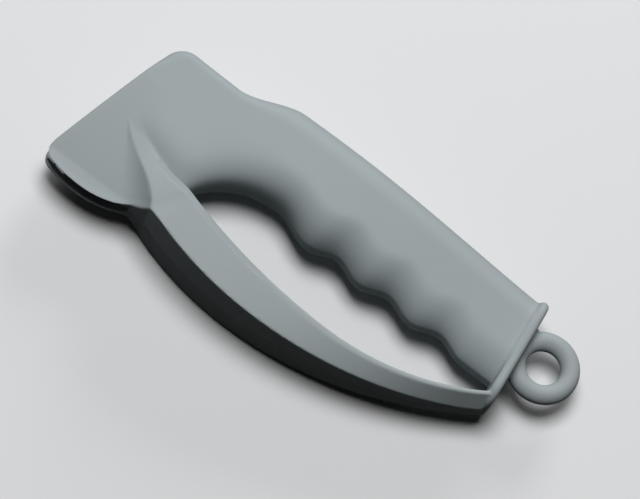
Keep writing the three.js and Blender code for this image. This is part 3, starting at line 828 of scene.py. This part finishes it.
def moulded_abs(name, colour, mottling, roughness, grain):
    """Injection-moulded ABS from a finely spark-eroded mould. It gives a soft, even satin: the grain
    breaks the highlight up a little, and faint flow clouds keep a broad face from looking flat."""
    material, tree = new_material(name)
    place_on = add_node(tree, "TexCoord").outputs["Object"]
    # Flow clouds, 14 mm across, a shade or so lighter and darker.
    clouds = add_node(tree, "TexNoise", {"Vector": place_on}, Scale=per_metre(14), Detail=3.0,
                      Roughness=0.55)
    dark = [c * (1 - mottling) for c in colour] + [1]
    light = [c * (1 + mottling) for c in colour] + [1]
    tint = add_node(tree, "Mix", {0: clouds.outputs[0]}, data_type="RGBA")
    tint.inputs[6].default_value = dark
    tint.inputs[7].default_value = light
    # Gloss varies where hands and the mould have polished it, over about 5 mm.
    polish = add_node(tree, "TexNoise", {"Vector": place_on}, Scale=per_metre(5), Detail=4.0, Roughness=0.6)
    gloss = add_node(tree, "MapRange", {"Value": polish.outputs[0]})
    gloss.inputs["To Min"].default_value = roughness - 0.05
    gloss.inputs["To Max"].default_value = roughness + 0.05
    # The mould's grain is about 0.08 mm across, too fine to show here, so it is drawn at 0.3 mm.
    fine = add_node(tree, "TexNoise", {"Vector": place_on}, Scale=per_metre(0.3), Detail=2.0, Roughness=0.5)
    pits = add_node(tree, "Bump", {"Height": fine.outputs[0]}, Strength=grain, Distance=0.00004)
    surface = add_node(tree, "BsdfPrincipled", {
        "Base Color": tint.outputs[2],
        "Roughness": gloss.outputs[0],
        "Normal": pits.outputs[0],
    }, IOR=1.53)
    surface.inputs["Specular IOR Level"].default_value = 0.06
    output = add_node(tree, "OutputMaterial", {"Surface": surface.outputs[0]})
    output.is_active_output = True
    return material


def ground_carbide(colour, roughness):
    """Sintered tungsten carbide, ground on a wheel. Straight fine scratches stretch its highlight, and
    small dark pores of the sintered metal show between them."""
    material, tree = new_material("ground_carbide")
    place_on = add_node(tree, "TexCoord").outputs["Object"]
    # Wheel marks are about 0.02 mm apart. They are drawn 0.12 mm apart, so that they show.
    across = add_node(tree, "Mapping", {"Vector": place_on}, Scale=(1, 0.06, 1))
    marks = add_node(tree, "TexNoise", {"Vector": across.outputs[0]}, Scale=per_metre(0.12), Detail=3.0)
    pores = add_node(tree, "TexVoronoi", {"Vector": place_on}, Scale=per_metre(0.4))
    shade = add_node(tree, "MapRange", {"Value": pores.outputs[0]})
    shade.inputs["From Max"].default_value = 0.25
    shade.inputs["To Min"].default_value = 0.75
    tint = add_node(tree, "Mix", {0: shade.outputs[0]}, data_type="RGBA")
    tint.inputs[6].default_value = [c * 0.6 for c in colour] + [1]
    tint.inputs[7].default_value = list(colour) + [1]
    gloss = add_node(tree, "MapRange", {"Value": marks.outputs[0]})
    gloss.inputs["To Min"].default_value = roughness - 0.08
    gloss.inputs["To Max"].default_value = roughness + 0.12
    scratches = add_node(tree, "Bump", {"Height": marks.outputs[0]}, Strength=0.35, Distance=0.00001)
    surface = add_node(tree, "BsdfPrincipled", {
        "Base Color": tint.outputs[2],
        "Roughness": gloss.outputs[0],
        "Normal": scratches.outputs[0],
    }, Metallic=1.0, Anisotropic=0.4)
    add_node(tree, "OutputMaterial", {"Surface": surface.outputs[0]})
    return material


def seen_directly(tree):
    """One for rays from the camera or through glass, a share of it for those seen in gloss, else zero."""
    rays = add_node(tree, "LightPath")
    clear = add_node(tree, "Math", {
        0: rays.outputs["Is Camera Ray"],
        1: rays.outputs["Is Transmission Ray"],
    }, operation="ADD")
    both = add_node(tree, "Math", {0: rays.outputs["Is Glossy Ray"], 2: clear.outputs[0]},
                    operation="MULTIPLY_ADD", use_clamp=True)
    both.inputs[1].default_value = GLOSS_SEEN_SHARE
    return both.outputs[0]


def pale_floor(colour, unseen):
    """Matt painted board. It looks pale, with a faint roller texture, and throws little light back, so
    the faces that look down at it stay dark."""
    material, tree = new_material("matt_painted_board")
    place_on = add_node(tree, "TexCoord").outputs["Object"]
    roller = add_node(tree, "TexNoise", {"Vector": place_on}, Scale=per_metre(3), Detail=3.0)
    texture = add_node(tree, "Bump", {"Height": roller.outputs[0]}, Strength=0.05, Distance=0.0002)
    tint = add_node(tree, "Mix", {0: seen_directly(tree)}, data_type="RGBA")
    tint.inputs[6].default_value = [c * unseen for c in colour] + [1]
    tint.inputs[7].default_value = list(colour) + [1]
    surface = add_node(tree, "BsdfPrincipled", {
        "Base Color": tint.outputs[2],
        "Normal": texture.outputs[0],
    }, Roughness=0.9)
    surface.inputs["Specular IOR Level"].default_value = 0.1
    add_node(tree, "OutputMaterial", {"Surface": surface.outputs[0]})
    return material


# What a user would change

class SharpenerCasing(bpy.types.PropertyGroup):
    """Sizes and looks of the moulded casing"""

    seam_gap: FloatProperty(
        name="Joint", description="Gap between the two halves of the casing",
        default=0.00014, min=0.00005, max=0.0005, precision=5, subtype="DISTANCE", unit="LENGTH")
    flange_thickness: FloatProperty(
        name="Flange thickness", description="Thickness of the end flange",
        default=0.0026, min=0.0025, max=0.003, precision=4, subtype="DISTANCE", unit="LENGTH")
    ring_hole: FloatProperty(
        name="Ring hole", description="Width of the hole in the hanging ring",
        default=0.009, min=0.008, max=0.01, precision=4, subtype="DISTANCE", unit="LENGTH")
    ring_wire: FloatProperty(
        name="Ring wire", description="Thickness of the hanging ring",
        default=0.005, min=0.004, max=0.0055, precision=4, subtype="DISTANCE", unit="LENGTH")
    slot_mouth: FloatProperty(
        name="Slot mouth", description="Width of the sharpening slot at the lip",
        default=0.0052, min=0.004, max=0.0055, precision=4, subtype="DISTANCE", unit="LENGTH")
    mesh_step: FloatProperty(
        name="Mesh step", description="Size of the faces of the finished skin",
        default=0.0003, min=0.0002, max=0.001, precision=5, subtype="DISTANCE", unit="LENGTH")
    edge_softening: IntProperty(
        name="Edge softening", description="Passes that round the moulded edges and inner corners",
        default=3, min=0, max=40)
    colour: FloatVectorProperty(
        name="Casing colour", description="Colour of the moulded plastic",
        default=linear("A3ACAE"), min=0, max=1, size=3, subtype="COLOR")
    roughness: FloatProperty(
        name="Roughness", description="How matt the moulded plastic is",
        default=0.48, min=0.1, max=0.9, subtype="FACTOR")


class SharpenerBlades(bpy.types.PropertyGroup):
    """Sizes and looks of the blades and their holder"""

    thickness: FloatProperty(
        name="Blade thickness", description="Thickness of each hard metal blade",
        default=0.0012, min=0.0008, max=0.0014, precision=4, subtype="DISTANCE", unit="LENGTH")
    tilt: FloatProperty(
        name="Blade tilt", description="How far each blade leans to its side",
        default=math.radians(13), min=math.radians(8), max=math.radians(16),
        subtype="ANGLE", unit="ROTATION")
    colour: FloatVectorProperty(
        name="Blade colour", description="Colour of the ground metal",
        default=linear("C2C4C6"), min=0, max=1, size=3, subtype="COLOR")
    holder_colour: FloatVectorProperty(
        name="Holder colour", description="Colour of the moulded blade holder",
        default=linear("4B5052"), min=0, max=1, size=3, subtype="COLOR")


class SharpenerStage(bpy.types.PropertyGroup):
    """The floor, the light and the camera"""

    floor_colour: FloatVectorProperty(
        name="Floor colour", description="Colour of the floor under the sharpener",
        default=linear("E9EAEB"), min=0, max=1, size=3, subtype="COLOR")
    key_power: FloatProperty(
        name="Key light", description="Power of the large soft light above",
        default=11.2, min=0, subtype="POWER", unit="POWER")
    rim_power: FloatProperty(
        name="Rim light", description="Power of the low light behind the grip's back",
        default=3.9, min=0, subtype="POWER", unit="POWER")
    fill_power: FloatProperty(
        name="Fill light", description="Power of the weak light from the front left",
        default=0.12, min=0, subtype="POWER", unit="POWER")
    distance: FloatProperty(
        name="Camera distance", description="Distance from the camera to the middle of the view",
        default=VIEW_DISTANCE, min=0.3, precision=3, subtype="DISTANCE", unit="LENGTH")


# Operators

class SHARPENER_OT_casing(bpy.types.Operator):
    """Models the two halves of the moulded casing, with head, grip, guard, flange and ring"""

    bl_idname = "sharpener.casing"
    bl_label = "Casing halves"
    bl_options = {"REGISTER", "UNDO"}

    def execute(self, context):
        casing = context.scene.sharpener_casing
        grey = moulded_abs("moulded_grey_abs", list(casing.colour), 0.02, casing.roughness, 0.3)
        near = casing_half(casing)
        far = mirrored(near, "far_casing")
        finished(near, "near_casing", "near_shell", grey)
        finished(far, "far_casing", "far_shell", grey)
        return {"FINISHED"}


class SHARPENER_OT_holder(bpy.types.Operator):
    """Models the dark insert that holds the blades at the roof of the slot"""

    bl_idname = "sharpener.holder"
    bl_label = "Blade holder"
    bl_options = {"REGISTER", "UNDO"}

    def execute(self, context):
        blades = context.scene.sharpener_blades
        dark = moulded_abs("moulded_dark_abs", list(blades.holder_colour), 0.04, 0.55, 0.5)
        holder = blade_holder(context.scene.sharpener_casing, blades)
        finished(holder, "holder", "blade_holder", dark)
        return {"FINISHED"}


class SHARPENER_OT_blades(bpy.types.Operator):
    """Models the two ground blades that cross in the slot"""

    bl_idname = "sharpener.blades"
    bl_label = "Blades"
    bl_options = {"REGISTER", "UNDO"}

    def execute(self, context):
        blades = context.scene.sharpener_blades
        metal = ground_carbide(list(blades.colour), 0.28)
        for order, side in enumerate(("front", "rear")):
            finished(blade(side, order, blades), side + "_cutter", side + "_blade", metal)
        return {"FINISHED"}


class SHARPENER_OT_stage(bpy.types.Operator):
    """Sets the floor, the soft lights, the world and the camera"""

    bl_idname = "sharpener.stage"
    bl_label = "Stage"
    bl_options = {"REGISTER", "UNDO"}

    def execute(self, context):
        stage = context.scene.sharpener_stage
        lay_floor(stage)
        set_lights(stage)
        set_world(context.scene, stage)
        set_camera(context.scene, stage)
        context.scene.view_settings.view_transform = "Standard"
        return {"FINISHED"}


# Stage

def as_laid(vector):
    """A direction in the side frame, as it lies on the table."""
    return LYING_TURN @ Vector(vector)


def lay_floor(stage):
    start_fresh()
    bpy.ops.mesh.primitive_plane_add(size=6, location=(0, 0, CAD_BOX[0][2] - FLOOR_GAP))
    floor = place(added("floor"))
    floor.data.materials.append(pale_floor(list(stage.floor_colour), UNSEEN_FLOOR_SHARE))


def aimed(direction):
    """The turn that points a lamp or camera's own -Z along a direction."""
    return direction.to_track_quat("-Z", "Y").to_euler()


def soft_lamp(name, direction, distance, width, power):
    """A large square lamp that shines on the sharpener from a direction."""
    start_fresh()
    away = as_laid(direction).normalized()
    bpy.ops.object.light_add(type="AREA", location=away * distance, rotation=aimed(-away))
    lamp = added(name)
    lamp.data.shape = "SQUARE"
    lamp.data.size = width
    lamp.data.energy = power
    return lamp


def set_lights(stage):
    soft_lamp("key", KEY_FROM, distance=1.2, width=0.55, power=stage.key_power)
    soft_lamp("rim", RIM_FROM, distance=1.0, width=0.4, power=stage.rim_power)
    soft_lamp("fill", FILL_FROM, distance=1.0, width=0.5, power=stage.fill_power)


def set_world(scene, stage):
    """Pale where it is seen, and nearly dark for the light that it gives."""
    world = bpy.data.worlds.new("studio")
    world.use_nodes = True
    tree = world.node_tree
    tree.nodes.clear()
    tint = add_node(tree, "Mix", {0: seen_directly(tree)}, data_type="RGBA")
    tint.inputs[6].default_value = [WORLD_LIGHT] * 3 + [1]
    tint.inputs[7].default_value = list(stage.floor_colour) + [1]
    background = add_node(tree, "Background", {"Color": tint.outputs[2]})
    add_node(tree, "OutputWorld", {"Surface": background.outputs[0]})
    scene.world = world


def set_camera(scene, stage):
    """A long lens at the photograph's angle, turned so that the handle runs down to the right."""
    start_fresh()
    forward, right, down = [as_laid(axis).normalized() for axis in (VIEW_FORWARD, VIEW_RIGHT, VIEW_DOWN)]
    target = MM * (LYING_TURN @ Vector(VIEW_TARGET) + LYING_SHIFT)
    bpy.ops.object.camera_add(location=target - forward * stage.distance)
    camera = added("camera")
    down = (down - forward * down.dot(forward)).normalized()
    right = down.cross(forward)
    camera.rotation_euler = Matrix((right, -down, -forward)).transposed().to_euler()
    camera.data.sensor_fit = "HORIZONTAL"
    camera.data.sensor_width = 36
    camera.data.lens = VIEW_LENS * stage.distance / VIEW_DISTANCE
    camera.data.clip_end = 20
    scene.camera = camera


class SHARPENER_PT_parts(bpy.types.Panel):
    """Lists the sharpener's pieces, with the sizes and colours of each"""

    bl_idname = "SHARPENER_PT_parts"
    bl_label = "Knife sharpener"
    bl_space_type = "VIEW_3D"
    bl_region_type = "UI"
    bl_category = "Sharpener"

    def draw(self, context):
        scene = context.scene
        for operators, settings in (
            (("sharpener.casing",), scene.sharpener_casing),
            (("sharpener.holder", "sharpener.blades"), scene.sharpener_blades),
            (("sharpener.stage",), scene.sharpener_stage),
        ):
            box = self.layout.box()
            for operator in operators:
                box.operator(operator)
            for key in settings.__annotations__:
                box.prop(settings, key)


CLASSES = (
    SharpenerCasing,
    SharpenerBlades,
    SharpenerStage,
    SHARPENER_OT_casing,
    SHARPENER_OT_holder,
    SHARPENER_OT_blades,
    SHARPENER_OT_stage,
    SHARPENER_PT_parts,
)


def register():
    for cls in CLASSES:
        bpy.utils.register_class(cls)
    bpy.types.Scene.sharpener_casing = PointerProperty(type=SharpenerCasing)
    bpy.types.Scene.sharpener_blades = PointerProperty(type=SharpenerBlades)
    bpy.types.Scene.sharpener_stage = PointerProperty(type=SharpenerStage)


def unregister():
    del bpy.types.Scene.sharpener_stage
    del bpy.types.Scene.sharpener_blades
    del bpy.types.Scene.sharpener_casing
    for cls in reversed(CLASSES):
        bpy.utils.unregister_class(cls)


def main():
    register()
    bpy.ops.sharpener.casing()
    bpy.ops.sharpener.holder()
    bpy.ops.sharpener.blades()
    bpy.ops.sharpener.stage()


if __name__ == "__main__":
    main()
